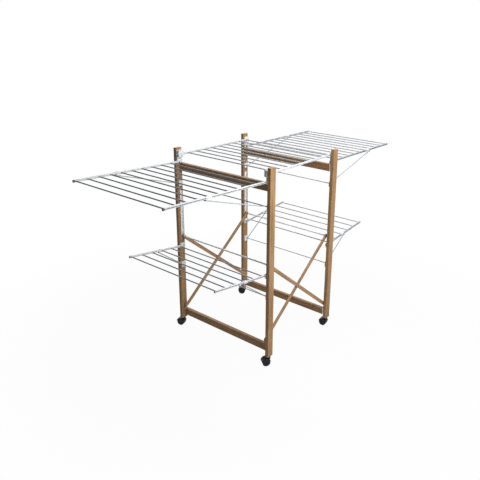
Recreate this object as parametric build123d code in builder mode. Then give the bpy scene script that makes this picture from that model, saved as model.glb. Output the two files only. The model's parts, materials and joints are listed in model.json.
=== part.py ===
import os
from math import acos, cos, hypot, radians, sin

from build123d import *

os.makedirs("parts", exist_ok=True)

# Overall sizes (mm). X runs along the wires, Y from the front frame to the back frame.
frame_width = 630.0
frame_spread = 510.0
castor_height = 50.0

# Wooden frames
post_thick = 19.0
post_deep = 38.0
rail_thick = 19.0
rail_high = 38.0
rail_plate = 5.0
rail_plate_inset = 1.0
low_rail_up = 19.0
edge_round = 1.2
cut_past = 1.0

# The stack of heights: the braces set the tracks, and everything above follows from them
pivot_up = 80.0
brace_length = 646.6
fold_limit = 42.0
track_past = 15.0
stay_above_track = 35.2
rail_above_stay = 70.0
wing_above_rail = 9.0
shelf_above_wing = 36.0
post_above_shelf = 32.0
low_wing_below_slide = 51.0
low_stay_drop = 111.0

# Wire grilles
bar_wide = 8.0
bar_high = 11.0
bar_round = 3.0
bar_wall = 1.2
bar_gap = 0.5
groove_high = 3.0
groove_deep = 1.5
wire_r = 3.0
stay_r = 2.5
first_wire = 59.0
low_first_wire = 15.5
shelf_hinge_back = 3.0
shelf_first_wire = 50.0
shelf_last_wire = 20.0
wire_off_cap = 0.4
weld_gap = 0.1
seat_gap = 0.15
wing_length = 600.0
wing_wires = 10
low_wing_length = 342.0
low_wing_wires = 6
shelf_wires = 9
wing_reach = 384.0
low_wing_reach = 160.0
tail_length = 20.0
cap_length = 8.0
tail_cap = 4.0
hinge_in = 6.0
hinge_head_gap = 0.15
hinge_head_r = 4.5
hinge_head_thick = 1.2
rod_end_gap = 0.4
stay_foot = 8.0
stay_off_bar = 0.3
wing_rise = {"front": 2.0, "back": 0.0}
low_wing_rise = {"front": 7.5, "back": 6.0}

# Braces and slides
brace_thick = 7.0
brace_wide = 18.0
brace_gap = 0.5
brace_edge = 0.8
slide_in = 16.0
slide_r = 4.0
roller_r = 6.5
roller_thick = 4.4
track_wall = 1.8
track_base = 1.5
track_deep = 7.0
track_sunk = 3.5
track_off_brace = 1.0
roller_gap = 0.1
rod_off_track = 0.2
rod_past_roller = 0.3

# Pins, brackets and screws
pin_r = 2.5
brace_pin_r = 3.0
brace_bore = 14.0
pin_cover = 6.0
pin_head_r = 5.5
pin_head_thick = 2.5
pin_head_gap = 0.2
spacer_r = 6.0
fit_gap = 0.06
bracket_thick = 6.5
bracket_deep = 34.0
bracket_half = 13.0
bracket_corner = 3.0
bracket_above_shelf = 14.0
stay_bracket_past = 8.0
low_stay_bracket_half = 15.0
stay_bracket_corner = 2.0
screw_in = 8.0
shelf_screw_up = 3.0
saddle_above_wing = 14.5
saddle_above_shelf = 20.0
pocket_deep = 4.5
pocket_above_wing = 18.0
pocket_above_shelf = 16.0
pocket_wall = 3.0
ledge_deep = 14.0
ledge_thick = 10.0
ledge_under_bar = 2.0
bolt_bite = 25.0
bolt_hole_past = 5.0
screw_r = 2.0
screw_head_r = 4.0
screw_sink = 2.5
screw_below_face = 0.3
screw_tip_in = 1.0
head_seat = 0.05

# Castors
wheel_r = 20.0
wheel_wide = 12.0
web_thick = 7.0
castor_trail = 15.0
stem_r = 4.0
stem_length = 32.0
collar_high = 14.0
collar_gap = 0.3
collar_inset = 0.5
hub_inset = 3.0
hood_gap = 1.3
hood_thick = 2.2
hood_low = 4.0
wheel_gap = 0.5
wheel_edge = 1.5
web_inset = 0.5
axle_r = 2.5
axle_gap = 0.05
heading = {
    "front_left": 200.0,
    "front_right": 235.0,
    "back_left": 215.0,
    "back_right": 190.0,
}

ends = {"front": -1, "back": 1}
sides = {"left": -1, "right": 1}

inner_x = frame_width / 2 - post_thick
outer_x = frame_width / 2
post_y = frame_spread / 2
face_y = post_y + post_deep / 2
back_y = post_y - post_deep / 2
wing_y = face_y - hinge_in
stay_y = wing_y - bar_high / 2 - stay_r - stay_off_bar
slide_y = wing_y - slide_in
shelf_y = post_y + shelf_hinge_back
bar_x = inner_x - bracket_thick - bar_wide / 2 - bar_gap
bar_in_x = bar_x - bar_wide / 2
hollow_wide = bar_wide - groove_deep - 2 * bar_wall
hollow_high = bar_high - 2 * bar_wall

pivot_z = castor_height + pivot_up
brace_lean = acos(2 * slide_y / brace_length)
slide_z = pivot_z + brace_length * sin(brace_lean)
folded_slide_z = pivot_z + brace_length * sin(brace_lean + radians(fold_limit))
track_top = folded_slide_z + roller_r + track_past
stay_z = track_top + stay_above_track
top_rail_z = stay_z + rail_above_stay
wing_z = top_rail_z + rail_high + wing_above_rail
shelf_z = wing_z + shelf_above_wing
post_height = shelf_z + post_above_shelf - castor_height
stay_drop = wing_z - stay_z
low_wing_z = slide_z - low_wing_below_slide
low_stay_z = low_wing_z - low_stay_drop
low_rail_z = castor_height + low_rail_up
cross_z = (pivot_z + slide_z) / 2

# Brace layers, measured from the centre out to the post
track_back_x = inner_x + track_sunk
track_x = track_back_x - track_deep
track_half = roller_r + roller_gap + track_wall
track_low = slide_z - track_past
outer_brace_x = track_x - track_off_brace - brace_thick
inner_brace_x = outer_brace_x - brace_gap - brace_thick
plate_out_y = face_y
plate_in_y = face_y - bracket_deep
plate_x = inner_x - bracket_thick
screw_y = plate_in_y + screw_in
shelf_screw_z = shelf_z + shelf_screw_up
ledge_y = plate_in_y + ledge_deep
rail_end = inner_x - rail_plate
rail_mid_y = back_y + rail_thick / 2
rod_reach = inner_x - rod_end_gap


def block(low, high, mode=Mode.ADD):
    size = [b - a for a, b in zip(low, high)]
    with Locations(tuple(low)):
        Box(*size, align=(Align.MIN, Align.MIN, Align.MIN), mode=mode)


def rod(start, end, radius, mode=Mode.ADD):
    reach = Vector(*end) - Vector(*start)
    with Locations(Plane(origin=start, z_dir=reach).location):
        Cylinder(radius, reach.length, align=(Align.CENTER, Align.CENTER, Align.MIN), mode=mode)


def cross_rod(x0, x1, y, z, radius, mode=Mode.ADD):
    rod((min(x0, x1), y, z), (max(x0, x1), y, z), radius, mode)


def sided(side, x0, x1, y0, y1, z0, z1, mode=Mode.ADD):
    xs = sorted((side * x0, side * x1))
    ys = sorted((y0, y1))
    block((xs[0], ys[0], z0), (xs[1], ys[1], z1), mode)


def on_grille(end, rise, hinge_z, along, lift):
    tilt = radians(rise)
    y = end * (wing_y + along * cos(tilt) - lift * sin(tilt))
    return y, hinge_z + along * sin(tilt) + lift * cos(tilt)


def bar_block(side, end, rise, hinge_z, along, reach, wide, high, mode=Mode.ADD):
    away = (0, end * cos(radians(rise)), sin(radians(rise)))
    spot = Plane(origin=(side * bar_x, *on_grille(end, rise, hinge_z, along, 0)),
                 x_dir=(1, 0, 0), z_dir=away)
    with Locations(spot.location):
        Box(wide, high, reach, align=(Align.CENTER, Align.CENTER, Align.MIN), mode=mode)


def save(piece, label):
    piece.part.label = label
    export_step(piece.part, f"parts/{label}.step")


def plate_screws():
    return [wing_z, low_wing_z, stay_z, low_stay_z, shelf_screw_z]


def rail_bolts():
    return [low_rail_z + rail_high / 2, top_rail_z + rail_high / 2]


for end_name, end in ends.items():
    for side_name, side in sides.items():
        with BuildPart() as post:
            low = castor_height
            sided(side, inner_x, outer_x, end * back_y, end * face_y, low, low + post_height)
            chamfer(post.edges().filter_by(Axis.Z), edge_round)
            chamfer(post.faces().sort_by(Axis.Z)[-1].edges(), edge_round)
            cross_rod(side * inner_x, side * (inner_x + brace_bore), end * slide_y, pivot_z,
                      brace_pin_r + fit_gap, Mode.SUBTRACT)
            sided(side, inner_x, track_back_x, end * slide_y - track_half - fit_gap,
                  end * slide_y + track_half + fit_gap, track_low, track_top, Mode.SUBTRACT)
            for z in plate_screws():
                cross_rod(side * inner_x, side * outer_x, end * screw_y, z,
                          screw_r + fit_gap, Mode.SUBTRACT)
                cross_rod(side * (outer_x - screw_sink), side * outer_x, end * screw_y, z,
                          screw_head_r + fit_gap, Mode.SUBTRACT)
            for z in rail_bolts():
                cross_rod(side * inner_x, side * outer_x, end * rail_mid_y, z,
                          screw_r + fit_gap, Mode.SUBTRACT)
                cross_rod(side * (outer_x - screw_sink), side * outer_x, end * rail_mid_y, z,
                          screw_head_r + fit_gap, Mode.SUBTRACT)
            centre = side * (inner_x + post_thick / 2)
            rod((centre, end * post_y, low), (centre, end * post_y, low + stem_length),
                stem_r + fit_gap, Mode.SUBTRACT)
        save(post, f"{end_name}_post_{side_name}")

        with BuildPart() as track:
            half = track_half
            sided(side, track_x, track_back_x, end * slide_y - half, end * slide_y + half,
                  track_low, track_top)
            half = track_half - track_wall
            sided(side, track_x, track_back_x - track_base, end * slide_y - half,
                  end * slide_y + half, track_low - cut_past, track_top + cut_past, Mode.SUBTRACT)
        save(track, f"{end_name}_track_{side_name}")

    for rail_name, rail_z in (("low", low_rail_z), ("top", top_rail_z)):
        with BuildPart() as rail:
            ys = sorted((end * back_y, end * (back_y + rail_thick)))
            block((-rail_end, ys[0], rail_z), (rail_end, ys[1], rail_z + rail_high))
            chamfer(rail.edges().filter_by(Axis.X), edge_round)
            for side in (-1, 1):
                cross_rod(side * (rail_end - bolt_bite - bolt_hole_past), side * rail_end,
                          end * rail_mid_y, rail_z + rail_high / 2, screw_r + fit_gap, Mode.SUBTRACT)
        save(rail, f"{end_name}_{rail_name}_rail")

    with BuildPart() as rail_plates:
        for side in (-1, 1):
            for rail_z in (low_rail_z, top_rail_z):
                sided(side, rail_end, inner_x, end * (back_y + rail_plate_inset),
                      end * (back_y + rail_thick - rail_plate_inset),
                      rail_z + rail_plate_inset, rail_z + rail_high - rail_plate_inset)
                cross_rod(side * rail_end, side * inner_x, end * rail_mid_y,
                          rail_z + rail_high / 2, screw_r + fit_gap, Mode.SUBTRACT)
    save(rail_plates, f"{end_name}_rail_plates")

    bracket_low = top_rail_z + rail_high + seat_gap
    with BuildPart() as wing_brackets:
        for side in (-1, 1):
            z1 = wing_z + bracket_half if end < 0 else shelf_z + bracket_above_shelf
            sided(side, plate_x, inner_x, end * plate_in_y, end * plate_out_y, bracket_low, z1)
        chamfer(wing_brackets.edges().filter_by(Axis.X), bracket_corner)
        for side in (-1, 1):
            cross_rod(side * plate_x, side * inner_x, end * wing_y, wing_z,
                      pin_r + fit_gap, Mode.SUBTRACT)
            cross_rod(side * plate_x, side * inner_x, end * screw_y, wing_z,
                      screw_r + fit_gap, Mode.SUBTRACT)
            if end > 0:
                cross_rod(side * plate_x, side * inner_x, screw_y, shelf_screw_z,
                          screw_r + fit_gap, Mode.SUBTRACT)
                cross_rod(side * plate_x, side * inner_x, shelf_y, shelf_z,
                          pin_r + fit_gap, Mode.SUBTRACT)
    save(wing_brackets, f"{end_name}_wing_brackets")

    with BuildPart() as low_brackets:
        for side in (-1, 1):
            sided(side, plate_x, inner_x, end * plate_in_y, end * plate_out_y,
                  low_wing_z - bracket_half, low_wing_z + bracket_half)
        chamfer(low_brackets.edges().filter_by(Axis.X), bracket_corner)
        for side in (-1, 1):
            for y, r in ((wing_y, pin_r), (screw_y, screw_r)):
                cross_rod(side * plate_x, side * inner_x, end * y, low_wing_z,
                          r + fit_gap, Mode.SUBTRACT)
    save(low_brackets, f"{end_name}_low_wing_brackets")

    with BuildPart() as stay_brackets:
        for side in (-1, 1):
            for z, half in ((stay_z, bracket_half), (low_stay_z, low_stay_bracket_half)):
                sided(side, plate_x, inner_x, end * plate_in_y, end * (stay_y + stay_bracket_past),
                      z - half, z + half)
        chamfer(stay_brackets.edges().filter_by(Axis.X), stay_bracket_corner)
        for side in (-1, 1):
            for z in (stay_z, low_stay_z):
                for y, r in ((stay_y, stay_r), (screw_y, screw_r)):
                    cross_rod(side * plate_x, side * inner_x, end * y, z,
                              r + fit_gap, Mode.SUBTRACT)
    save(stay_brackets, f"{end_name}_stay_brackets")

    with BuildPart() as brace_pivots:
        brace_x = inner_brace_x if end < 0 else outer_brace_x
        for side in (-1, 1):
            y = end * slide_y
            head_x = brace_x - pin_head_gap - pin_head_thick
            cross_rod(side * (brace_x + brace_thick + pin_head_gap), side * inner_x,
                      y, pivot_z, spacer_r)
            cross_rod(side * head_x, side * (outer_x - pin_cover), y, pivot_z, brace_pin_r)
            cross_rod(side * head_x, side * (head_x + pin_head_thick), y, pivot_z, pin_head_r)
    save(brace_pivots, f"{end_name}_brace_pivots")

    with BuildPart() as screws:
        face_x = outer_x - screw_below_face
        head_x = outer_x - screw_sink + head_seat
        for side in (-1, 1):
            for z in plate_screws():
                cross_rod(side * (plate_x + screw_tip_in), side * face_x, end * screw_y, z, screw_r)
                cross_rod(side * head_x, side * face_x, end * screw_y, z, screw_head_r)
            for z in rail_bolts():
                cross_rod(side * (rail_end - bolt_bite), side * face_x, end * rail_mid_y, z, screw_r)
                cross_rod(side * head_x, side * face_x, end * rail_mid_y, z, screw_head_r)
    save(screws, f"{end_name}_screws")

with BuildPart() as saddles:
    ledge_top = shelf_z - bar_high / 2 - seat_gap
    for side in (-1, 1):
        sided(side, plate_x, inner_x, -plate_in_y, -plate_out_y,
              wing_z + saddle_above_wing, shelf_z + saddle_above_shelf)
        sided(side, plate_x - cut_past, plate_x + pocket_deep, -(ledge_y + ledge_under_bar),
              -(plate_out_y - pocket_wall), wing_z + pocket_above_wing,
              shelf_z + pocket_above_shelf, Mode.SUBTRACT)
        sided(side, bar_in_x - cut_past, inner_x, -plate_in_y, -ledge_y,
              ledge_top - ledge_thick, ledge_top)
    for side in (-1, 1):
        cross_rod(side * plate_x, side * inner_x, -screw_y, shelf_screw_z,
                  screw_r + fit_gap, Mode.SUBTRACT)
save(saddles, "shelf_saddles")


def grille_bars(end, rise, hinge_z, length):
    low = tail_cap - tail_length
    reach = length - cap_length - low
    for side in (-1, 1):
        bar_block(side, end, rise, hinge_z, low, reach, bar_wide, bar_high)
    return reach


def grille_holes(end, rise, hinge_z, low, reach, hinge_y):
    for side in (-1, 1):
        with Locations((side * (bar_wide - groove_deep), 0, 0)):
            bar_block(side, end, rise, hinge_z, low, reach, bar_wide, groove_high, Mode.SUBTRACT)
        with Locations((-side * groove_deep / 2, 0, 0)):
            bar_block(side, end, rise, hinge_z, low, reach, hollow_wide, hollow_high,
                      Mode.SUBTRACT)
        cross_rod(side * bar_in_x, side * (bar_in_x + bar_wide), hinge_y, hinge_z,
                  pin_r + fit_gap, Mode.SUBTRACT)


def grille_wires(end, rise, hinge_z, length, count, first):
    last = length - cap_length - wire_r - wire_off_cap
    step = (last - first) / (count - 1)
    reach = bar_in_x - weld_gap
    for k in range(count):
        y, z = on_grille(end, rise, hinge_z, first + k * step, 0)
        cross_rod(-reach, reach, y, z, wire_r)


def hinge_pin(y, z):
    for side in (-1, 1):
        head = bar_in_x - hinge_head_gap
        cross_rod(side * (head - hinge_head_thick), side * head, y, z, hinge_head_r)
        cross_rod(side * (head - hinge_head_thick), side * rod_reach, y, z, pin_r)


def fittings(end, rise, hinge_z, length):
    hinge_pin(end * wing_y, hinge_z)
    for side in (-1, 1):
        bar_block(side, end, rise, hinge_z, -tail_length, tail_cap, bar_wide, bar_high)
        bar_block(side, end, rise, hinge_z, length - cap_length, cap_length, bar_wide, bar_high)


def stay(end, rise, hinge_z, drop, reach):
    drop_below = bar_high / 2 + stay_r + seat_gap
    base = (end * stay_y, hinge_z - drop)
    tip = on_grille(end, rise, hinge_z, reach, -drop_below)
    length = hypot(tip[0] - base[0], tip[1] - base[1])
    away = [(t - b) / length for t, b in zip(tip, base)]
    start = [b + (stay_r + weld_gap) * a for b, a in zip(base, away)]
    stop = [t - (stay_r + weld_gap) * a for t, a in zip(tip, away)]
    cross_rod(-rod_reach, rod_reach, *base, stay_r)
    for side in (-1, 1):
        x = side * bar_x
        rod((x, *start), (x, *stop), stay_r)
        cross_rod(x - stay_foot / 2, x + stay_foot / 2, *tip, stay_r)


def long_edges(piece, reach):
    return piece.edges().filter_by(lambda edge: edge.length > reach / 2)


wings = (
    ("wing", wing_rise, wing_z, wing_length, wing_wires, first_wire, stay_drop, wing_reach),
    ("low_wing", low_wing_rise, low_wing_z, low_wing_length, low_wing_wires, low_first_wire,
     low_stay_drop, low_wing_reach),
)
for end_name, end in ends.items():
    for wing_name, rises, hinge_z, length, count, first, drop, stay_reach in wings:
        rise = rises[end_name]
        with BuildPart() as wing_grille:
            reach = grille_bars(end, rise, hinge_z, length)
            fillet(long_edges(wing_grille, reach), bar_round)
            grille_holes(end, rise, hinge_z, tail_cap - tail_length, reach, end * wing_y)
            grille_wires(end, rise, hinge_z, length, count, first)
        save(wing_grille, f"{end_name}_{wing_name}_grille")
        with BuildPart() as wing_fittings:
            fittings(end, rise, hinge_z, length)
        save(wing_fittings, f"{end_name}_{wing_name}_fittings")
        with BuildPart() as wing_stay:
            stay(end, rise, hinge_z, drop, stay_reach)
        save(wing_stay, f"{end_name}_{wing_name}_stay")

shelf_low = -(ledge_y - ledge_under_bar)
shelf_back = shelf_y + bar_high / 2
with BuildPart() as shelf_grille:
    for side in (-1, 1):
        sided(side, bar_in_x, bar_in_x + bar_wide, shelf_low + tail_cap, shelf_back,
              shelf_z - bar_high / 2, shelf_z + bar_high / 2)
    reach = shelf_back - shelf_low - tail_cap
    fillet(long_edges(shelf_grille, reach), bar_round)
    for side in (-1, 1):
        groove_x = bar_in_x + bar_wide - groove_deep
        sided(side, bar_in_x + bar_wall, groove_x - bar_wall, shelf_low, shelf_back + cut_past,
              shelf_z - hollow_high / 2, shelf_z + hollow_high / 2, Mode.SUBTRACT)
        sided(side, groove_x, bar_in_x + bar_wide + cut_past, shelf_low, shelf_back + cut_past,
              shelf_z - groove_high / 2, shelf_z + groove_high / 2, Mode.SUBTRACT)
        cross_rod(side * bar_in_x, side * (bar_in_x + bar_wide), shelf_y, shelf_z,
                  pin_r + fit_gap, Mode.SUBTRACT)
    first_y = -post_y + shelf_first_wire
    step = (shelf_y - shelf_last_wire - first_y) / (shelf_wires - 1)
    for k in range(shelf_wires):
        cross_rod(-(bar_in_x - weld_gap), bar_in_x - weld_gap, first_y + k * step, shelf_z, wire_r)
save(shelf_grille, "shelf_grille")

with BuildPart() as shelf_fittings:
    hinge_pin(shelf_y, shelf_z)
    for side in (-1, 1):
        sided(side, bar_in_x, bar_in_x + bar_wide, shelf_low, shelf_low + tail_cap,
              shelf_z - bar_high / 2, shelf_z + bar_high / 2)
save(shelf_fittings, "shelf_fittings")

rise_z = slide_z - pivot_z
for layer, brace_x, bottom_end in (("inner", inner_brace_x, -1), ("outer", outer_brace_x, 1)):
    low_y = bottom_end * slide_y
    for side_name, side in sides.items():
        with BuildPart() as brace:
            run = Vector(0, -2 * low_y, rise_z).normalized()
            face = Plane(origin=(side * brace_x, 0, cross_z), x_dir=tuple(run), z_dir=(side, 0, 0))
            with BuildSketch(face):
                SlotCenterToCenter(brace_length, brace_wide)
            extrude(amount=brace_thick)
            chamfer(brace.faces().sort_by(Axis.X)[0].edges(), brace_edge)
            chamfer(brace.faces().sort_by(Axis.X)[-1].edges(), brace_edge)
            for y, z, r in (
                (low_y, pivot_z, brace_pin_r),
                (0, cross_z, brace_pin_r),
                (-low_y, slide_z, slide_r),
            ):
                cross_rod(side * (brace_x - cut_past), side * (brace_x + brace_thick + cut_past),
                          y, z, r + fit_gap, Mode.SUBTRACT)
        save(brace, f"{layer}_brace_{side_name}")

    end_name = "back" if bottom_end < 0 else "front"
    rod_end = track_back_x - track_base - rod_off_track
    with BuildPart() as slide_rod:
        cross_rod(-rod_end, rod_end, -low_y, slide_z, slide_r)
    save(slide_rod, f"{end_name}_slide_rod")

    with BuildPart() as rollers:
        for side in (-1, 1):
            x1 = rod_end - rod_past_roller
            cross_rod(side * (x1 - roller_thick), side * x1, -low_y, slide_z, roller_r)
            cross_rod(side * (x1 - roller_thick), side * x1, -low_y, slide_z,
                      slide_r + fit_gap, Mode.SUBTRACT)
    save(rollers, f"{end_name}_rollers")

with BuildPart() as cross_pins:
    for side in (-1, 1):
        x0 = inner_brace_x - pin_head_gap
        x1 = outer_brace_x + brace_thick + pin_head_gap
        cross_rod(side * (x0 - pin_head_thick), side * (x1 + pin_head_thick), 0, cross_z,
                  brace_pin_r)
        cross_rod(side * (x0 - pin_head_thick), side * x0, 0, cross_z, pin_head_r)
        cross_rod(side * x1, side * (x1 + pin_head_thick), 0, cross_z, pin_head_r)
save(cross_pins, "cross_pins")

web_half = web_thick / 2
wheel_in = web_half + wheel_gap
wheel_mid = wheel_in + wheel_wide / 2
wheels_out = wheel_in + wheel_wide
hood_in = wheel_r + hood_gap
hood_out = hood_in + hood_thick
collar_low = castor_height - collar_high
on_floor = (Align.CENTER, Align.CENTER, Align.MIN)
lying = (90, 0, 0)
for place, turn in heading.items():
    end_name, side_name = place.split("_")
    x = sides[side_name] * (inner_x + post_thick / 2)
    y = ends[end_name] * post_y
    foot = Location((x, y, 0), (0, 0, turn))
    axle_spot = (castor_trail, 0, wheel_r)
    with BuildPart() as housing:
        with Locations(foot):
            with Locations(axle_spot):
                Cylinder(hood_out, 2 * wheels_out, rotation=lying)
                Cylinder(hood_in, 2 * (wheels_out + cut_past), rotation=lying,
                         mode=Mode.SUBTRACT)
                Cylinder(hood_out - web_inset, web_thick, rotation=lying)
            with Locations((castor_trail, 0, wheel_r + hood_low)):
                Box(2 * hood_out + cut_past, 2 * (wheels_out + cut_past), 2 * hood_out,
                    align=(Align.CENTER, Align.CENTER, Align.MAX), mode=Mode.SUBTRACT)
            with Locations(axle_spot):
                Cylinder(wheel_r - hub_inset, web_thick, rotation=lying)
            with Locations((0, 0, collar_low)):
                Cylinder(post_thick / 2 - collar_inset, collar_high - collar_gap, align=on_floor)
                Cylinder(stem_r, collar_high + stem_length - cut_past, align=on_floor)
            for across in (-1, 1):
                with Locations((castor_trail, across * (web_half + wheels_out / 2), wheel_r)):
                    Cylinder(hood_in, wheels_out, rotation=lying, mode=Mode.SUBTRACT)
            with Locations(axle_spot):
                Cylinder(axle_r + fit_gap, 2 * hood_out, rotation=lying, mode=Mode.SUBTRACT)
    save(housing, f"castor_{place}_housing")

    with BuildPart() as wheels:
        with Locations(foot):
            with Locations((castor_trail, wheel_mid, wheel_r), (castor_trail, -wheel_mid, wheel_r)):
                Cylinder(wheel_r, wheel_wide, rotation=lying)
        chamfer(wheels.edges().filter_by(GeomType.CIRCLE), wheel_edge)
        with Locations(foot):
            with Locations(axle_spot):
                Cylinder(axle_r, 2 * (wheel_in - axle_gap), rotation=lying)
    save(wheels, f"castor_{place}_wheels")
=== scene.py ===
import json
import math

import bmesh
import bpy
from mathutils import Matrix, Vector


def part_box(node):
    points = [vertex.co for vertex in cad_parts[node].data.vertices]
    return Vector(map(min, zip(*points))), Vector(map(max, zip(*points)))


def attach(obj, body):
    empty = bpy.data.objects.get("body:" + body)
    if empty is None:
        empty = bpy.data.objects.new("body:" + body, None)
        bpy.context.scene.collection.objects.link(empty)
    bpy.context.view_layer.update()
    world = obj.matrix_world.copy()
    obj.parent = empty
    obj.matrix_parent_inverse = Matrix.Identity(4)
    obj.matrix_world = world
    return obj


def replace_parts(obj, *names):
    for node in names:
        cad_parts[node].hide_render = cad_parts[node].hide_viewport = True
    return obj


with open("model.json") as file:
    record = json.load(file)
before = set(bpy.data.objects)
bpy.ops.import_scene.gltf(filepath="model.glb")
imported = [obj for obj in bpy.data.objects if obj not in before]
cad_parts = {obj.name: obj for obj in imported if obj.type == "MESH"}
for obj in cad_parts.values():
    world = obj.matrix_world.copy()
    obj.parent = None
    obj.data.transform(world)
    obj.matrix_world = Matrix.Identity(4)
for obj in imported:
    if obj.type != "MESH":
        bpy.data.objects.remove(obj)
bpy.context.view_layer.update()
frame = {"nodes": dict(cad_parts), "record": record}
joints = {joint["name"]: joint for joint in frame["record"]["behaviour"]["joints"]}
hinges = {name: Vector(joint["pos_m"]) for name, joint in joints.items()}
print("frame loaded")

mm = 0.001
alongY = Vector((0, 1, 0))
alongZ = Vector((0, 0, 1))


def hexColor(text):
    values = [int(text[i:i + 2], 16) / 255 for i in (1, 3, 5)]
    return tuple(v / 12.92 if v <= 0.04045 else ((v + 0.055) / 1.055) ** 2.4 for v in values) + (1,)


def addNode(tree, kind, inputs=None, **settings):
    node = tree.nodes.new(kind)
    for key, value in settings.items():
        setattr(node, key, value)
    for name, value in (inputs or {}).items():
        if isinstance(value, bpy.types.NodeSocket):
            tree.links.new(value, node.inputs[name])
        else:
            node.inputs[name].default_value = value
    return node


def newMaterial(name):
    material = bpy.data.materials.new(name)
    material.use_nodes = True
    tree = material.node_tree
    tree.nodes.clear()
    shader = addNode(tree, "ShaderNodeBsdfPrincipled")
    addNode(tree, "ShaderNodeOutputMaterial", {"Surface": shader.outputs["BSDF"]})
    return material, tree, shader


def ramp(tree, factor, stops):
    node = addNode(tree, "ShaderNodeValToRGB", {"Fac": factor})
    bar = node.color_ramp.elements
    stops = list(stops)
    while len(bar) < len(stops):
        bar.new(0.5)
    for mark, (spot, color) in zip(bar, stops):
        mark.position = spot
        mark.color = color
    return node.outputs["Color"]


def gray(value):
    return (value, value, value, 1)


# Mixes two colours. Their sockets are picked by place, because a mix node repeats its names.
def mixColor(tree, factor, first, second, **settings):
    node = addNode(tree, "ShaderNodeMix", data_type="RGBA", **settings)
    if isinstance(factor, bpy.types.NodeSocket):
        tree.links.new(factor, node.inputs[0])
    else:
        node.inputs[0].default_value = factor
    tree.links.new(first, node.inputs[6])
    tree.links.new(second, node.inputs[7])
    return node.outputs[2]


# 1 for camera, glossy and transmission rays, and 0 for the rays that light the scene
def seenRays(tree):
    path = addNode(tree, "ShaderNodeLightPath")
    pair = addNode(tree, "ShaderNodeMath", {
        0: path.outputs["Is Camera Ray"], 1: path.outputs["Is Glossy Ray"]}, operation="MAXIMUM")
    return addNode(tree, "ShaderNodeMath", {
        0: pair.outputs[0], 1: path.outputs["Is Transmission Ray"]}, operation="MAXIMUM").outputs[0]


def mixShader(tree, factor, first, second):
    node = addNode(tree, "ShaderNodeMixShader", {"Fac": factor})
    tree.links.new(first.outputs[0], node.inputs[1])
    tree.links.new(second.outputs[0], node.inputs[2])
    return node


# Stained beech, each colour from pale to dark. A pattern holds its width in mm, its stretch along
# the grain, its detail and its twist, and a shading its stops, its depth and its share.
woodLook = {
    "post": ("#b38d62", "#a27d54", "#8a6946"),
    "rail": ("#ac865e", "#9a764f", "#836342"),
    "brace": ("#b7926a", "#a68058", "#906c48"),
    "bands": (13, 14, 3, 0.6),     # the soft light and dark bands
    "fibres": (1.1, 40, 2, 0),     # drawn coarser than beech's 0.2 mm pores so that they show
    "flecks": (2.2, 7, 1, 0.2),    # the short ray flecks of quarter-sawn beech
    "bandStops": (0.3, 0.48, 0.7),
    "poreShading": ((0.38, 0.6), 0.72, 0.7),
    "fleckShading": ((0.3, 0.4), 0.8, 0.8),
    "ringScale": 95,               # the growth rings in the end grain, a few millimetres apart
    "ringStops": (0.1, 0.9),
    "endFacing": 0.9,
    "roughness": (0.56, 0.42),     # in the pores and between them
    "bump": 0.3,                   # mm
    "shine": 0.3,                  # a thin satin coat, so less mirror than bare plastic
}


# Planed and satin varnished beech: soft bands, fine pores and short darker flecks along the grain.
def stainedBeech(name, colors, along, tilt, shift):
    material, tree, shader = newMaterial(name)
    place = addNode(tree, "ShaderNodeTexCoord")
    grain = addNode(tree, "ShaderNodeMapping", {
        "Vector": place.outputs["Object"],
        "Location": (shift, shift * 0.7, shift * 1.3),
        "Rotation": (tilt, 0, 0),
    })

    def pattern(key):
        width, stretch, detail, twist = woodLook[key]
        scale = [1.0, 1.0, 1.0]
        scale[along] = 1 / stretch
        squeeze = addNode(tree, "ShaderNodeVectorMath", {0: grain.outputs["Vector"], 1: scale},
                          operation="MULTIPLY")
        return addNode(tree, "ShaderNodeTexNoise", {
            "Vector": squeeze.outputs["Vector"], "Scale": 1 / (width * mm), "Detail": detail,
            "Roughness": 0.55, "Distortion": twist}).outputs["Fac"]

    def shaded(color, pattern, key):
        stops, depth, share = woodLook[key]
        shades = ramp(tree, pattern, zip(stops, (gray(depth), gray(1))))
        return mixColor(tree, share, color, shades, blend_type="MULTIPLY")

    bands, fibres, flecks = [pattern(key) for key in ("bands", "fibres", "flecks")]
    pale, middle, dark = [hexColor(c) for c in colors]
    base = ramp(tree, bands, zip(woodLook["bandStops"], (dark, middle, pale)))
    flecked = shaded(shaded(base, fibres, "poreShading"), flecks, "fleckShading")

    # end grain: darker, with growth rings
    faceWay = addNode(tree, "ShaderNodeMapping", {
        "Vector": place.outputs["Normal"], "Rotation": (tilt, 0, 0)})
    split = addNode(tree, "ShaderNodeSeparateXYZ", {"Vector": faceWay.outputs["Vector"]})
    facing = addNode(tree, "ShaderNodeMath", {0: split.outputs[along]}, operation="ABSOLUTE")
    isEnd = addNode(tree, "ShaderNodeMath", {0: facing.outputs[0], 1: woodLook["endFacing"]},
                    operation="GREATER_THAN")
    rings = addNode(tree, "ShaderNodeTexWave", {
        "Vector": grain.outputs["Vector"], "Scale": woodLook["ringScale"], "Distortion": 3,
        "Detail": 2}, wave_type="RINGS", rings_direction="XYZ"[along])
    endColor = ramp(tree, rings.outputs["Fac"], zip(woodLook["ringStops"], (dark, middle)))
    surface = mixColor(tree, isEnd.outputs[0], flecked, endColor)
    tree.links.new(surface, shader.inputs["Base Color"])

    gloss = addNode(tree, "ShaderNodeMapRange", {
        "Value": fibres, "To Min": woodLook["roughness"][0], "To Max": woodLook["roughness"][1]})
    tree.links.new(gloss.outputs["Result"], shader.inputs["Roughness"])
    bump = addNode(tree, "ShaderNodeBump", {
        "Height": fibres, "Strength": 0.25, "Distance": woodLook["bump"] * mm})
    tree.links.new(bump.outputs["Normal"], shader.inputs["Normal"])
    shader.inputs["Specular IOR Level"].default_value = woodLook["shine"]
    return material


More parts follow.
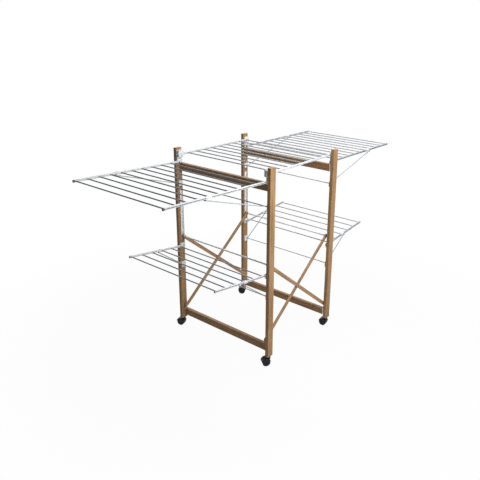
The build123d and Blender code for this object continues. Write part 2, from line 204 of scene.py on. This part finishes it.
# What every coat has in common: where its two shades lie, how its roughness spreads and its bump
coatLook = {"stops": (0.3, 0.65), "spread": (-0.06, 0.08), "strength": 0.35}
wireEndX = 280    # mm from the middle, where the wires meet the side bars


# A smooth or grained coat over one colour: a little lighter and darker by turns, with a fine bump.
# Grain and patches in mm. A bar colour, where given, takes over beyond the ends of the wires:
# painted light and shade, with the side bars painted lighter or darker than the wires of the same
# coat.
def coated(name, color, shade, grainWidth, bumpHeight, roughness,
           metallic=0.0, patch=25, bar=None, shine=0.5):
    material, tree, shader = newMaterial(name)
    place = addNode(tree, "ShaderNodeTexCoord")
    patches = addNode(tree, "ShaderNodeTexNoise", {
        "Vector": place.outputs["Object"], "Scale": 1 / (patch * mm), "Detail": 3})
    grain = addNode(tree, "ShaderNodeTexNoise", {
        "Vector": place.outputs["Object"], "Scale": 1 / (grainWidth * mm), "Detail": 2})

    def patched(light, dark):
        shades = (hexColor(dark), hexColor(light))
        return ramp(tree, patches.outputs["Fac"], zip(coatLook["stops"], shades))

    tint = patched(color, shade)
    # painted light and shade: the side bars beyond the wire ends take their own lighter or darker
    # tint
    if bar:
        split = addNode(tree, "ShaderNodeSeparateXYZ", {"Vector": place.outputs["Object"]})
        aside = addNode(tree, "ShaderNodeMath", {0: split.outputs["X"]}, operation="ABSOLUTE")
        onBar = addNode(tree, "ShaderNodeMath", {0: aside.outputs[0], 1: wireEndX * mm},
                        operation="GREATER_THAN")
        tint = mixColor(tree, onBar.outputs[0], tint, patched(*bar))
    tree.links.new(tint, shader.inputs["Base Color"])
    matt = [roughness + change for change in coatLook["spread"]]
    gloss = addNode(tree, "ShaderNodeMapRange", {
        "Value": grain.outputs["Fac"], "To Min": matt[0], "To Max": matt[1]})
    tree.links.new(gloss.outputs["Result"], shader.inputs["Roughness"])
    bump = addNode(tree, "ShaderNodeBump", {
        "Height": grain.outputs["Fac"], "Strength": coatLook["strength"],
        "Distance": bumpHeight * mm})
    tree.links.new(bump.outputs["Normal"], shader.inputs["Normal"])
    shader.inputs["Metallic"].default_value = metallic
    shader.inputs["Specular IOR Level"].default_value = shine
    return material


# The braces' grain runs from their pivots to the rollers, which sit above the low wings' hinges.
rollerUp = 51    # mm
braceRise = hinges["front_low_wing_fold"].z + rollerUp * mm - hinges["fold"].z
braceTilt = math.atan2(braceRise, -2 * hinges["fold"].y)
# mm, mm and roughness: how fine and how deep each kind of coat is grained, and how matt it is
coats = {
    "glossEpoxy": {"grainWidth": 1.2, "bumpHeight": 0.04, "roughness": 0.36},
    "epoxy": {"grainWidth": 1.2, "bumpHeight": 0.04, "roughness": 0.42},
    "powder": {"grainWidth": 0.8, "bumpHeight": 0.05, "roughness": 0.42},
    "moulded": {"grainWidth": 0.6, "bumpHeight": 0.05, "roughness": 0.5},
    "mouldedSatin": {"grainWidth": 0.6, "bumpHeight": 0.05, "roughness": 0.45, "shine": 0.35},
    "rubber": {"grainWidth": 0.9, "bumpHeight": 0.05, "roughness": 0.7, "patch": 6, "shine": 0.25},
    "nylon": {"grainWidth": 0.7, "bumpHeight": 0.06, "roughness": 0.3, "shine": 0.22},
    "tread": {"grainWidth": 0.9, "bumpHeight": 0.08, "roughness": 0.42, "patch": 8, "shine": 0.22},
    "zinc": {"grainWidth": 0.5, "bumpHeight": 0.03, "roughness": 0.36, "metallic": 1.0, "patch": 6},
    "cover": {"grainWidth": 0.6, "bumpHeight": 0.04, "roughness": 0.5, "patch": 6},
}
looks = {
    # epoxy-dipped steel wire: glossy, with an orange-peel skin about 1 mm across. The coat is white,
    # as on the bright rods; the wires are painted grey as painted shade, and each bar colour is
    # painted light or painted shade on the side bars
    "whiteWire": coated("epoxyCoatedWire", "#c2c6cb", "#b3b8be",
                        bar=("#c9ccd0", "#bcc0c4"), **coats["glossEpoxy"]),
    # the side bars of the back wings and the stays painted darker: painted shade
    "backWirePaintedBarShade": coated("epoxyCoatedWireBackPaintedBarShade", "#c2c6cb", "#b3b8be",
                       bar=("#a6aaae", "#989ca0"), **coats["glossEpoxy"]),
    # the front wings' wires painted dark grey: painted shade; their side bars painted lighter:
    # painted highlight
    "frontWirePaintedShade": coated("epoxyCoatedWireFrontPaintedShade", "#91969c", "#83888f",
                        bar=("#d2d5d7", "#c6cacd"), **coats["epoxy"]),
    # the front wing's stay painted dark grey: painted shade, with its bar part painted lighter
    "stayWirePaintedShade": coated("epoxyCoatedWireStayPaintedShade", "#8d9094", "#7f8287",
                       bar=("#b4b8bc", "#a7abaf"), **coats["epoxy"]),
    "brightRod": coated("epoxyCoatedRod", "#eff0f1", "#e3e4e6", **coats["glossEpoxy"]),
    # powder-coated channel: satin, fine even grain
    "whiteTrack": coated("powderCoatedChannel", "#f0f1f2", "#e4e6e8", **coats["powder"]),
    # moulded polypropylene with a spark-eroded matt skin
    "whitePlastic": coated("mouldedPolypropyleneWhite", "#e6e7e7", "#d8dada", **coats["moulded"]),
    "palePlastic": coated("mouldedPolypropylenePale", "#a9abad", "#97999c", **coats["moulded"]),
    "grayPlastic": coated("mouldedPolypropyleneGray", "#5c5f63", "#4c4f53", **coats["moulded"]),
    "darkPlastic": coated("mouldedPolypropyleneDark", "#29292b", "#1e1e20",
                          **coats["mouldedSatin"]),
    # soft grey rubber, matt and slightly chalky
    "padRubber": coated("softPadRubber", "#e6eaec", "#d8dde0", **coats["rubber"]),
    # moulded nylon for the castors: satin black that catches the light on its edges
    "blackNylon": coated("mouldedNylonBlack", "#121214", "#0c0c0e", **coats["nylon"]),
    "blackWheel": coated("hardNylonWheel", "#131315", "#0d0d0f", **coats["tread"]),
    # zinc-plated steel: soft, slightly brushed shine
    "zincSteel": coated("zincPlatedSteel", "#a9abad", "#8f9193", **coats["zinc"]),
    # wood-coloured plastic covers in the screw holes
    "woodCover": coated("mouldedCoverTan", "#98775a", "#86674b", **coats["cover"]),
}


def dress(node, material):
    mesh = frame["nodes"][node].data
    mesh.materials.clear()
    mesh.materials.append(material)


grainShift = 0.37    # m, so that no two pieces of wood show the same grain
for count, name in enumerate(frame["nodes"]):
    shift = grainShift * (count + 1)
    if "_post_" in name:
        dress(name, stainedBeech("stainedBeech_" + name, woodLook["post"], 2, 0, shift))
    elif name.endswith("_rail"):
        dress(name, stainedBeech("stainedBeech_" + name, woodLook["rail"], 0, 0, shift))
    elif "_brace_" in name and "pivots" not in name:
        tilt = -braceTilt if name.startswith("inner") else braceTilt
        dress(name, stainedBeech("stainedBeech_" + name, woodLook["brace"], 1, tilt, shift))
    elif "_track_" in name or name.endswith("rail_plates"):
        dress(name, looks["whiteTrack"])
    elif name.endswith(("brackets", "saddles")):
        dress(name, looks["whitePlastic"])
    elif name.endswith("rollers"):
        dress(name, looks["darkPlastic"])
    elif name.endswith("_wheels"):
        dress(name, looks["blackWheel"])
    elif name.endswith("_housing"):
        dress(name, looks["blackNylon"])
    elif name.endswith(("pivots", "pins")):
        dress(name, looks["zincSteel"])
    elif name.endswith("screws"):
        dress(name, looks["woodCover"])
    elif name == "front_wing_stay":
        dress(name, looks["stayWirePaintedShade"])
    elif name.endswith("slide_rod"):
        dress(name, looks["brightRod"])
    elif name in ("front_wing_grille", "front_low_wing_grille"):
        dress(name, looks["frontWirePaintedShade"])
    elif name.endswith("_stay") or name.startswith("back_") and name.endswith("grille"):
        dress(name, looks["backWirePaintedBarShade"])
    else:
        dress(name, looks["whiteWire"])
print("frame materials done")


def finishPiece(name, bm, look, body, angle=35):
    bmesh.ops.recalc_face_normals(bm, faces=bm.faces)
    mesh = bpy.data.meshes.new(name)
    bm.to_mesh(mesh)
    bm.free()
    mesh.materials.append(looks[look])
    mesh.shade_smooth()
    mesh.set_sharp_from_angle(angle=math.radians(angle))
    piece = bpy.data.objects.new(name, mesh)
    bpy.context.scene.collection.objects.link(piece)
    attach(piece, body)
    return piece


def alignTo(origin, axis):
    turn = Vector(axis).normalized().to_track_quat("Z", "Y").to_matrix().to_4x4()
    return Matrix.Translation(origin) @ turn


# Turns a profile of (radius, height) pairs round an axis. Heights run along it from the origin.
def spunPart(bm, profile, origin, axis, steps):
    verts = [bm.verts.new((r * mm, 0, h * mm)) for r, h in profile]
    edges = [bm.edges.new(pair) for pair in zip(verts, verts[1:])]
    made = bmesh.ops.spin(bm, geom=verts + edges, cent=(0, 0, 0), axis=(0, 0, 1),
                          angle=2 * math.pi, steps=steps, use_merge=True)
    # all that hangs together with the profile, gathered along the edges
    shell = set(verts) | {item for item in made["geom_last"] if isinstance(item, bmesh.types.BMVert)}
    grown = list(shell)
    while grown:
        vert = grown.pop()
        for edge in vert.link_edges:
            other = edge.other_vert(vert)
            if other not in shell:
                shell.add(other)
                grown.append(other)
    shell = [v for v in shell if v.is_valid]
    bmesh.ops.remove_doubles(bm, verts=shell, dist=1e-6)
    shell = [v for v in shell if v.is_valid]
    bmesh.ops.transform(bm, matrix=alignTo(origin, axis), verts=shell)


# A box with softened edges. Its size runs along X, along the bar and up the bar, in mm.
def softBox(bm, middle, size, out, up, soft):
    made = bmesh.ops.create_cube(bm, size=1)["verts"]
    bmesh.ops.scale(bm, vec=[s * mm for s in size], verts=made)
    edges = {edge for vert in made for edge in vert.link_edges}
    cut = bmesh.ops.bevel(bm, geom=list(edges), offset=soft * mm, segments=2, affect="EDGES",
                          profile=0.5)
    verts = {v for v in made if v.is_valid} | {v for face in cut["faces"] for v in face.verts}
    turn = Matrix((Vector((1, 0, 0)), out, up)).transposed().to_4x4()
    bmesh.ops.transform(bm, matrix=Matrix.Translation(middle) @ turn, verts=list(verts))


def asideBy(side, distance):
    return Vector((side * distance * mm, 0, 0))


# The wings' grilles: lengths in mm from the hinge along the bar, and the rise in degrees
# The front wings' end caps are grey and pale plastic and the back wings' are white: painted shade on
# the caps that face away from the light
grilles = {
    "front_wing": {"hinge": "front_wing_fold", "end": -1, "rise": 2.0, "length": 600, "wires": 10,
                   "first": 59, "cap": "grayPlastic", "stayAt": 384, "clip": 32},
    "back_wing": {"hinge": "back_wing_fold", "end": 1, "rise": 0.0, "length": 600, "wires": 10,
                  "first": 59, "cap": "whitePlastic", "stayAt": 384, "clip": 32},
    "front_low_wing": {"hinge": "front_low_wing_fold", "end": -1, "rise": 7.5, "length": 342,
                       "wires": 6, "first": 15.5, "cap": "palePlastic", "stayAt": 160, "clip": 24},
    "back_low_wing": {"hinge": "back_low_wing_fold", "end": 1, "rise": 6.0, "length": 342,
                      "wires": 6, "first": 15.5, "cap": "whitePlastic", "stayAt": 160, "clip": 24},
}
# mm: the flat side bars, their groove, and the wires let into them
barLook = {"x": 285.0, "wide": 8.0, "high": 11.0, "groove": 1.5, "tail": 20.0, "tailCap": 4.0,
           "cap": 8.0, "wire": 3.0, "wireOffCap": 0.4}
barFace = barLook["wide"] / 2
# The weld fillet on the inner side of the bar, and the wire's end in the groove on the outer side
weldLook = {
    "bead": [(3.02, 0), (3.2, 0.8), (3.6, 1.6), (4.1, 2.15), (4.1, 2.6), (0.2, 2.8)],
    "beadX": barLook["x"] - barFace - 2.2,
    "beadSteps": 12,
    "plug": [(1.35, 0), (1.35, 1.1), (0.945, 1.4), (0, 1.5)],
    "plugX": barLook["x"] + barFace - barLook["groove"] - 0.1,
    "plugSteps": 10,
    "angle": 50,
}
# The pin's domed head inside the bar, its shank, and its washer between the bar and the bracket
hingeLook = {
    "head": {"x": 280.9, "way": -1, "steps": 24,
             "profile": [(4.6, 0), (4.6, 0.6), (3.9, 1.2), (2.4, 1.6), (0, 1.75)]},
    "shank": {"x": 289.0, "way": 1, "steps": 16,
              "profile": [(0, 0), (2.5, 0), (2.5, 6.6), (0, 6.6)]},
    "washer": {"x": 289.07, "way": 1, "steps": 24,
               "profile": [(2.4, 0), (5.4, 0), (5.4, 0.36), (2.4, 0.36)]},
}
# Moulded pieces on the bars: how far they stand over the bar and how soft their edges are
fitLook = {"over": 0.3, "soft": 1.2}
capLook = {"over": 0.4, "soft": 1.6}
# The clip that the stay's foot stops against, with its rivets
clipLook = {"fromStay": 4.5, "overWide": 1.6, "overHigh": 1.8, "soft": 0.9, "rivetIn": 7,
            "rivetOff": 0.7, "rivetSteps": 14,
            "rivet": [(1.9, 0), (1.9, 0.3), (1.3, 0.6), (0, 0.7)]}
# The knobs on both ends of the stay's foot
knobLook = {"under": 2.65, "apart": 2.6, "steps": 16,
            "profile": [(2.4, 0), (3.0, 0.2), (3.1, 1.2), (2.4, 2.1), (0, 2.4)]}
# A grey strip in the groove of each bar: painted shade, standing in for the shadow inside the groove
grooveShadeLook = {"wide": 0.5, "high": 2.7, "soft": 0.1, "offEnds": 0.3, "offGroove": 0.26}


def weldPair(beads, plugs, y, z):
    for side in (-1, 1):
        spunPart(beads, weldLook["bead"], (side * weldLook["beadX"] * mm, y, z), (side, 0, 0),
                 weldLook["beadSteps"])
        spunPart(plugs, weldLook["plug"], (side * weldLook["plugX"] * mm, y, z), (side, 0, 0),
                 weldLook["plugSteps"])


def hingePair(bm, middle):
    for side in (-1, 1):
        for part in hingeLook.values():
            spunPart(bm, part["profile"], middle + asideBy(side, part["x"]),
                     (side * part["way"], 0, 0), part["steps"])


for name, spec in grilles.items():
    hinge, end, tilt = hinges[spec["hinge"]], spec["end"], math.radians(spec["rise"])
    out = Vector((0, end * math.cos(tilt), math.sin(tilt)))
    up = Vector((0, -end * math.sin(tilt), math.cos(tilt)))
    wide, high, cap, tail, tailCap = [barLook[key] for key in
                                      ("wide", "high", "cap", "tail", "tailCap")]
    beads, plugs = bmesh.new(), bmesh.new()
    last = spec["length"] - cap - barLook["wire"] - barLook["wireOffCap"]
    step = (last - spec["first"]) / (spec["wires"] - 1)
    for k in range(spec["wires"]):
        spot = hinge + out * (spec["first"] + k * step) * mm
        weldPair(beads, plugs, spot.y, spot.z)
    finishPiece(name + "_welds", beads, "brightRod", name, weldLook["angle"])
    finishPiece(name + "_wire_ends", plugs, "grayPlastic", name, weldLook["angle"])

    fit, pins, caps, clips, marks, knobs, grooveShadeStrip = [bmesh.new() for _ in range(7)]
    hingePair(pins, hinge)
    for side in (-1, 1):
        rail = hinge + asideBy(side, barLook["x"])
        over = fitLook["over"]
        softBox(fit, rail + out * (tailCap / 2 - tail) * mm,
                (wide + over, tailCap, high + over), out, up, fitLook["soft"])
        over = capLook["over"]
        softBox(caps, rail + out * (spec["length"] - cap / 2) * mm,
                (wide + over, cap, high + over), out, up, capLook["soft"])
        clip = rail + out * (spec["stayAt"] - spec["clip"] / 2 - clipLook["fromStay"]) * mm
        size = (wide + clipLook["overWide"], spec["clip"], high + clipLook["overHigh"])
        softBox(clips, clip, size, out, up, clipLook["soft"])
        rivetAt = spec["clip"] / 2 - clipLook["rivetIn"]
        for along in (-rivetAt, rivetAt):
            spot = clip + out * along * mm + asideBy(side, barFace + clipLook["rivetOff"])
            spunPart(marks, clipLook["rivet"], spot, (side, 0, 0), clipLook["rivetSteps"])
        foot = rail + out * spec["stayAt"] * mm - up * (high / 2 + knobLook["under"]) * mm
        for lean in (-1, 1):
            spunPart(knobs, knobLook["profile"], foot + asideBy(lean, knobLook["apart"]),
                     (lean, 0, 0), knobLook["steps"])
        # the strip of painted shade along the groove
        run = spec["length"] - cap + tail - tailCap - 2 * grooveShadeLook["offEnds"]
        groove = barFace - barLook["groove"] + grooveShadeLook["offGroove"]
        along = run / 2 - tail + tailCap + grooveShadeLook["offEnds"]
        softBox(grooveShadeStrip, rail + asideBy(side, groove) + out * along * mm,
                (grooveShadeLook["wide"], run, grooveShadeLook["high"]), out, up, grooveShadeLook["soft"])
    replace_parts(finishPiece(name + "_fit", fit, "palePlastic", name),
                name + "_fittings")
    finishPiece(name + "_painted_groove_shade", grooveShadeStrip, "grayPlastic", name)
    finishPiece(name + "_pins", pins, "zincSteel", name)
    finishPiece(name + "_caps", caps, spec["cap"], name)
    finishPiece(name + "_clips", clips, "whitePlastic", name)
    finishPiece(name + "_rivets", marks, "zincSteel", name)
    finishPiece(name + "_stay_knobs", knobs, "darkPlastic", name + "_stay")
print("wings done")

# mm: the shelf's first and last wire
shelfLook = {"firstY": -205.0, "lastY": 238.0, "wires": 9}
hinge = hinges["shelf_lift"]
beads, plugs, fit, pins = [bmesh.new() for _ in range(4)]
step = (shelfLook["lastY"] - shelfLook["firstY"]) / (shelfLook["wires"] - 1)
for k in range(shelfLook["wires"]):
    weldPair(beads, plugs, (shelfLook["firstY"] + k * step) * mm, hinge.z)
finishPiece("shelf_welds", beads, "brightRod", "shelf", weldLook["angle"])
finishPiece("shelf_wire_ends", plugs, "grayPlastic", "shelf", weldLook["angle"])
hingePair(pins, hinge)
finishPiece("shelf_pins", pins, "zincSteel", "shelf")
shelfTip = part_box("shelf_fittings")[0][1]
for side in (-1, 1):
    tip = Vector((side * barLook["x"] * mm, shelfTip + barLook["tailCap"] / 2 * mm, hinge.z))
    softBox(fit, tip, (barLook["wide"], barLook["tailCap"], barLook["high"]), alongY, alongZ,
            fitLook["soft"])
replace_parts(finishPiece("shelf_fit", fit, "palePlastic", "shelf"), "shelf_fittings")
print("shelf done")

# mm: moulded end blocks on the shelf's bars, in front of the saddles' ledges. Each is a shell round
# a soft pad, with an inner cheek that reaches back over the ledge, and a rivet through the cheek.
blockLook = {
    "inX": 276.6, "outX": 289.3, "backY": -254.4, "frontY": -273.4, "low": 966.5, "high": 997.5,
    "wall": 3.2, "soft": 0.7,
    "pad": {"x": 0.2, "thinner": 3.4, "shorter": 2.4, "soft": 0.8},
    "cheek": {"x": 1.9, "y": 7.0, "thick": 3.8, "deep": 16.0, "soft": 0.9},
    "rivet": {"x": 0.1, "y": 8.0, "down": 7, "steps": 18,
              "profile": [(2.6, 0), (2.6, 0.4), (1.8, 1.0), (0, 1.3)]},
}
shell, pads, marks = [bmesh.new() for _ in range(3)]
wide = blockLook["outX"] - blockLook["inX"]
deep = blockLook["backY"] - blockLook["frontY"]
tall = blockLook["high"] - blockLook["low"]
midX = (blockLook["inX"] + blockLook["outX"]) / 2
midY = (blockLook["backY"] + blockLook["frontY"]) / 2
midZ = (blockLook["low"] + blockLook["high"]) / 2
wall, pad, cheek, rivet = [blockLook[key] for key in ("wall", "pad", "cheek", "rivet")]
# top, bottom, two inner corners and the thin outer wall, each with its place and its size
walls = [((0, 0, (tall - wall) / 2), (wide, deep, wall)),
         ((0, 0, (wall - tall) / 2), (wide, deep, wall)),
         (((wall - wide) / 2, (wall - deep) / 2, 0), (wall, wall, tall)),
         (((wall - wide) / 2, (deep - wall) / 2, 0), (wall, wall, tall)),
         ((wide / 2 - wall / 4, 0, 0), (wall / 2, deep, tall))]
for side in (-1, 1):
    for (dx, dy, dz), size in walls:
        spot = Vector((side * (midX + dx) * mm, (midY + dy) * mm, (midZ + dz) * mm))
        softBox(shell, spot, size, alongY, alongZ, blockLook["soft"])
    spot = Vector((side * (midX + pad["x"]) * mm, midY * mm, midZ * mm))
    size = (wide - pad["thinner"], deep - pad["shorter"], tall - pad["shorter"])
    softBox(pads, spot, size, alongY, alongZ, pad["soft"])
    spot = Vector((side * (blockLook["inX"] + cheek["x"]) * mm,
                   (blockLook["backY"] + cheek["y"]) * mm, midZ * mm))
    softBox(shell, spot, (cheek["thick"], cheek["deep"], tall), alongY, alongZ, cheek["soft"])
    spot = (side * (blockLook["inX"] + rivet["x"]) * mm, (blockLook["backY"] + rivet["y"]) * mm,
            (blockLook["high"] - rivet["down"]) * mm)
    spunPart(marks, rivet["profile"], spot, (-side, 0, 0), rivet["steps"])
finishPiece("shelf_end_shells", shell, "whitePlastic", "shelf")
finishPiece("shelf_end_pads", pads, "padRubber", "shelf")
finishPiece("shelf_end_rivets", marks, "zincSteel", "shelf")
print("end blocks done")

# Covers with a socket, seated in the posts' counterbores over the plain screw heads
screwLook = {"plateY": 248.0, "railY": 245.5, "shelfUp": 3, "steps": 18,
             "profile": [(0, 0.02), (1.55, 0.02), (1.75, 0.2), (3.3, 0.24), (3.75, 0.12), (3.9, 0)]}
for endName, end in (("front", -1), ("back", 1)):
    bm = bmesh.new()
    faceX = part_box(endName + "_screws")[1][0]
    plateY, railY = [end * screwLook[key] * mm for key in ("plateY", "railY")]
    heights = [hinges[endName + joint].z for joint in
               ("_wing_fold", "_low_wing_fold", "_wing_stay_fold", "_low_wing_stay_fold")]
    heights.append(hinges["shelf_lift"].z + screwLook["shelfUp"] * mm)
    rails = [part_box(f"{endName}_{place}_rail") for place in ("low", "top")]
    spots = [(plateY, z) for z in heights]
    spots += [(railY, (rail[0][2] + rail[1][2]) / 2) for rail in rails]
    for side in (-1, 1):
        for y, z in spots:
            spunPart(bm, screwLook["profile"], (side * faceX, y, z), (side, 0, 0),
                     screwLook["steps"])
    finishPiece(endName + "_screw_sockets", bm, "woodCover", endName + "_frame")
print("screws done")

# mm: dark spacers on the slide rods, beside the braces, and cones on the braces' inner sides
spacerLook = {
    "front": {"body": "outer_braces", "inX": 291.65, "outX": 292.35, "coneX": 284.4},
    "back": {"body": "inner_braces", "inX": 284.15, "outX": 292.3, "coneX": 276.9},
}
spacerBore, spacerRadius, spacerSteps = 4.05, 7.0, 24
cone = [(spacerBore, 0), (6.6, 0.2), (6.6, 2.4), (spacerBore, 2.8)]
for endName, spec in spacerLook.items():
    bm = bmesh.new()
    low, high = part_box(endName + "_slide_rod")
    middle = [(low[k] + high[k]) / 2 for k in (1, 2)]
    thick = spec["outX"] - spec["inX"]
    ring = [(spacerBore, 0), (spacerRadius, 0), (spacerRadius, thick), (spacerBore, thick)]
    for side in (-1, 1):
        spunPart(bm, ring, (side * spec["inX"] * mm, *middle), (side, 0, 0), spacerSteps)
        spunPart(bm, cone, (side * spec["coneX"] * mm, *middle), (-side, 0, 0), spacerSteps)
    finishPiece(endName + "_slide_spacers", bm, "grayPlastic", spec["body"])
print("spacers done")

# Domed heads over the brace pins, in mm
domeLook = {"sunk": 0.6, "steps": 24,
            "profile": [(5.4, -0.4), (5.4, -0.2), (4.6, 0.5), (3.0, 1.1), (1.4, 1.4), (0, 1.5)]}
bm = bmesh.new()
low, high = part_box("cross_pins")
crossZ = (low[2] + high[2]) / 2
for side in (-1, 1):
    spot = (side * (high[0] - domeLook["sunk"] * mm), 0, crossZ)
    spunPart(bm, domeLook["profile"], spot, (side, 0, 0), domeLook["steps"])
finishPiece("cross_pin_domes", bm, "zincSteel", "inner_braces")
print("pins done")

# Castors, in mm: a collar under each post, and turned faces on the wheels
castorLook = {
    "collarDown": 3.3, "collarSteps": 28,
    "collar": [(4.2, 0), (8.6, 0), (9.3, 0.6), (9.3, 2.2), (8.8, 2.8), (4.2, 2.8)],
    "faceOff": 15.9, "faceSteps": 32,
    "face": [(0, 1.3), (2.6, 1.3), (3.2, 0.9), (3.4, 0.35), (7.0, 0.25), (12.6, 0.25),
             (13.2, 0.6), (15.6, 0.6), (16.2, 0.1)],
}
for endName in ("front", "back"):
    for sideName in ("left", "right"):
        place = f"castor_{endName}_{sideName}"
        swivel, axle = hinges[place + "_swivel"], hinges[place + "_roll"]
        bm = bmesh.new()
        spot = swivel - alongZ * castorLook["collarDown"] * mm
        spunPart(bm, castorLook["collar"], spot, alongZ, castorLook["collarSteps"])
        finishPiece(place + "_collar", bm, "blackNylon", place)
        axis = Vector(joints[place + "_roll"]["axis"])
        bm = bmesh.new()
        for way in (-1, 1):
            spunPart(bm, castorLook["face"], axle + axis * way * castorLook["faceOff"] * mm,
                     axis * way, castorLook["faceSteps"])
        finishPiece(place + "_wheel_faces", bm, "blackNylon", place + "_wheel_pair")
print("castors done")

# Floor, light and camera. The floor fades to white between two distances in metres.
setLook = {"floorSize": 12.0, "fadeFrom": 0.9, "fadeTo": 1.7, "glow": 0.96, "paper": 0.55,
           "room": "#fbfaf8", "roomStrength": 0.055}
bpy.ops.mesh.primitive_plane_add(size=setLook["floorSize"], location=(0, 0, 0))
floor = bpy.context.object
floor.name = "floor"
floorMaterial = bpy.data.materials.new("palePaper")
floorMaterial.use_nodes = True
tree = floorMaterial.node_tree
tree.nodes.clear()
spot = addNode(tree, "ShaderNodeTexCoord").outputs["Object"]
reach = addNode(tree, "ShaderNodeVectorMath", {0: spot}, operation="LENGTH")
fade = addNode(tree, "ShaderNodeMapRange", {
    "Value": reach.outputs["Value"], "From Min": setLook["fadeFrom"], "From Max": setLook["fadeTo"],
    "To Min": setLook["glow"], "To Max": 1.0})
white = addNode(tree, "ShaderNodeEmission", {"Color": gray(1), "Strength": 1.0})
paper = addNode(tree, "ShaderNodeBsdfDiffuse", {"Color": gray(setLook["paper"])})
seen = mixShader(tree, fade.outputs["Result"], paper, white)
plain = mixShader(tree, seenRays(tree), paper, seen)
addNode(tree, "ShaderNodeOutputMaterial", {"Surface": plain.outputs[0]})
floor.data.materials.append(floorMaterial)

world = bpy.data.worlds.new("studio")
bpy.context.scene.world = world
world.use_nodes = True
tree = world.node_tree
tree.nodes.clear()
room = addNode(tree, "ShaderNodeBackground", {
    "Color": hexColor(setLook["room"]), "Strength": setLook["roomStrength"]})
backdrop = addNode(tree, "ShaderNodeBackground", {"Color": gray(1), "Strength": 1.0})
mixed = mixShader(tree, seenRays(tree), room, backdrop)
addNode(tree, "ShaderNodeOutputWorld", {"Surface": mixed.outputs[0]})

# m and W: a small key from the right, a wide lamp overhead and a weak one behind
lamps = {
    "keyRight": {"at": (1.6, -0.3, 1.5), "to": (0, -0.05, 0.6), "size": 0.7, "power": 29},
    "overheadBack": {"at": (0.3, 1.1, 2.7), "to": (0, 0.1, 0.7), "size": 1.6, "power": 50},
    "backLeft": {"at": (-2.4, 2.0, 1.6), "to": (0, 0, 0.5), "size": 1.6, "power": 14},
}
for name, spec in lamps.items():
    light = bpy.data.lights.new(name, "AREA")
    light.energy = spec["power"]
    light.size = spec["size"]
    lamp = bpy.data.objects.new(name, light)
    aim = Vector(spec["to"]) - Vector(spec["at"])
    lamp.location = spec["at"]
    lamp.rotation_euler = aim.to_track_quat("-Z", "Y").to_euler()
    bpy.context.scene.collection.objects.link(lamp)

# degrees, mm of lens on a 36 mm sensor, metres, and the lens shift
eye = {"azimuth": 38.042, "elevation": 19.124, "roll": 1.117, "lens": 42.61, "sensor": 36,
       "at": (1.8258, -2.1614, 1.6297), "shift": (-0.075, -0.05)}
azimuth, elevation, roll = [math.radians(eye[key]) for key in ("azimuth", "elevation", "roll")]
back = Vector((math.sin(azimuth) * math.cos(elevation), -math.cos(azimuth) * math.cos(elevation),
               math.sin(elevation)))
right = (-back).cross(alongZ).normalized()
up = right.cross(-back)
rolledRight = right * math.cos(roll) + up * math.sin(roll)
rolledUp = up * math.cos(roll) - right * math.sin(roll)
cameraData = bpy.data.cameras.new("eye")
cameraData.sensor_width = eye["sensor"]
cameraData.lens = eye["lens"]
cameraData.shift_x, cameraData.shift_y = eye["shift"]
camera = bpy.data.objects.new("eye", cameraData)
turn = Matrix((rolledRight, rolledUp, back)).transposed().to_4x4()
camera.matrix_world = Matrix.Translation(eye["at"]) @ turn
bpy.context.scene.collection.objects.link(camera)
bpy.context.scene.camera = camera
bpy.context.scene.view_settings.view_transform = "Standard"
print("set done")
